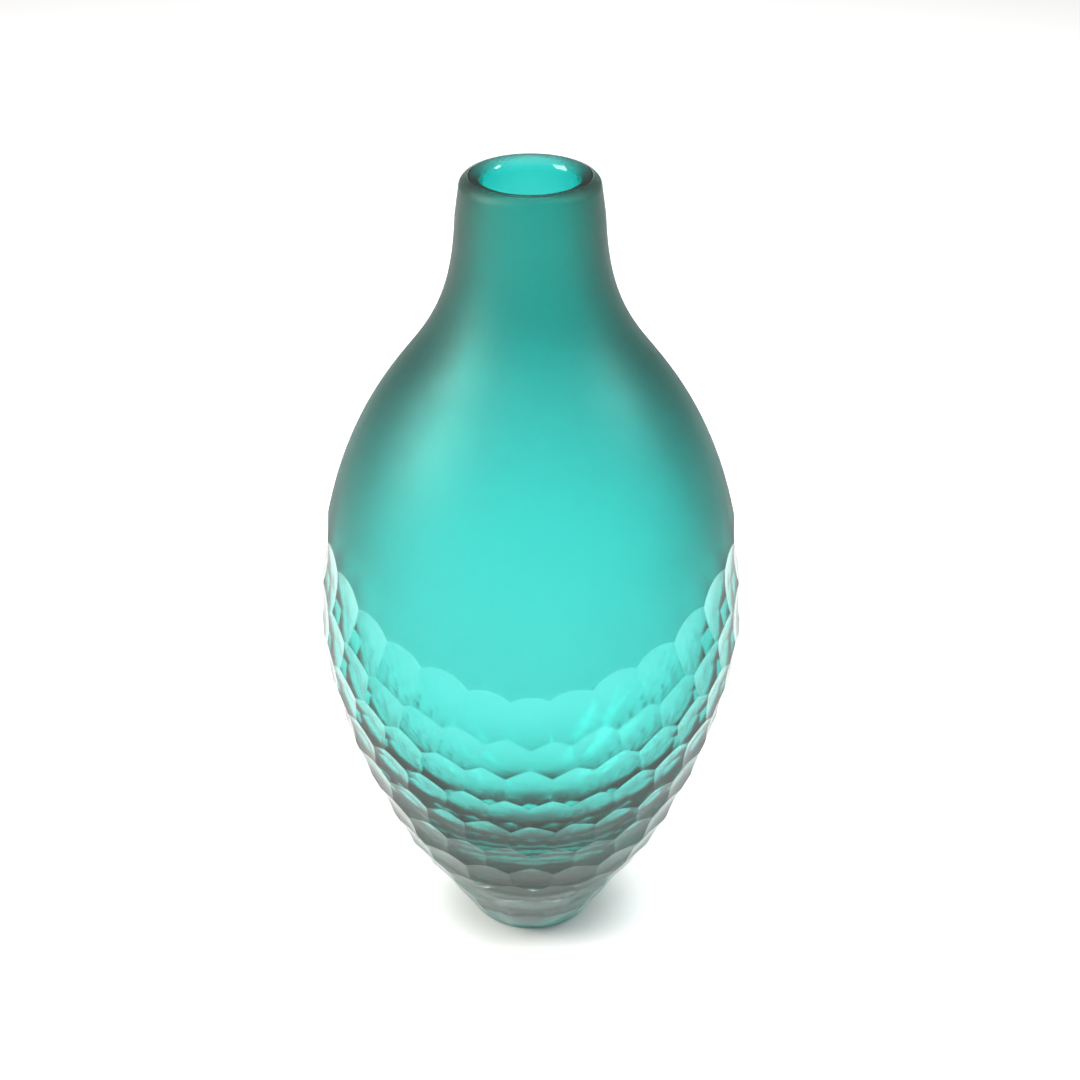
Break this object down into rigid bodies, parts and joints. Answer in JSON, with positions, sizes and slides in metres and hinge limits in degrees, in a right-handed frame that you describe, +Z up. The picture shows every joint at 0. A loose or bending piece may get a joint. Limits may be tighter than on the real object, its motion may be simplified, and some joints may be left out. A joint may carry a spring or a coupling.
{
  "type": "cased glass vase",
  "caption": "Slender-necked vase of clear satin glass over a teal inner layer, its lower body cut all over in shallow overlapping scoops with a wavy scalloped border; flat base.",
  "frame": {"origin": "centre of the flat base, on the surface the vase stands on", "axes": "+Z runs up the vase's axis to the mouth; -Y is the front, where the border of the cuts dips lowest; +X is to the right seen from the front"},
  "size_m": [0.1578, 0.1581, 0.305],
  "materials": {
    "clear_glass": "acid satin above the border, polished wheel cuts below it",
    "teal_glass": "glossy fire polish on the inside"
  },
  "bodies": {
    "root": {"clear_casing": "clear_glass", "teal_core": "teal_glass"}
  },
  "joints": []
}
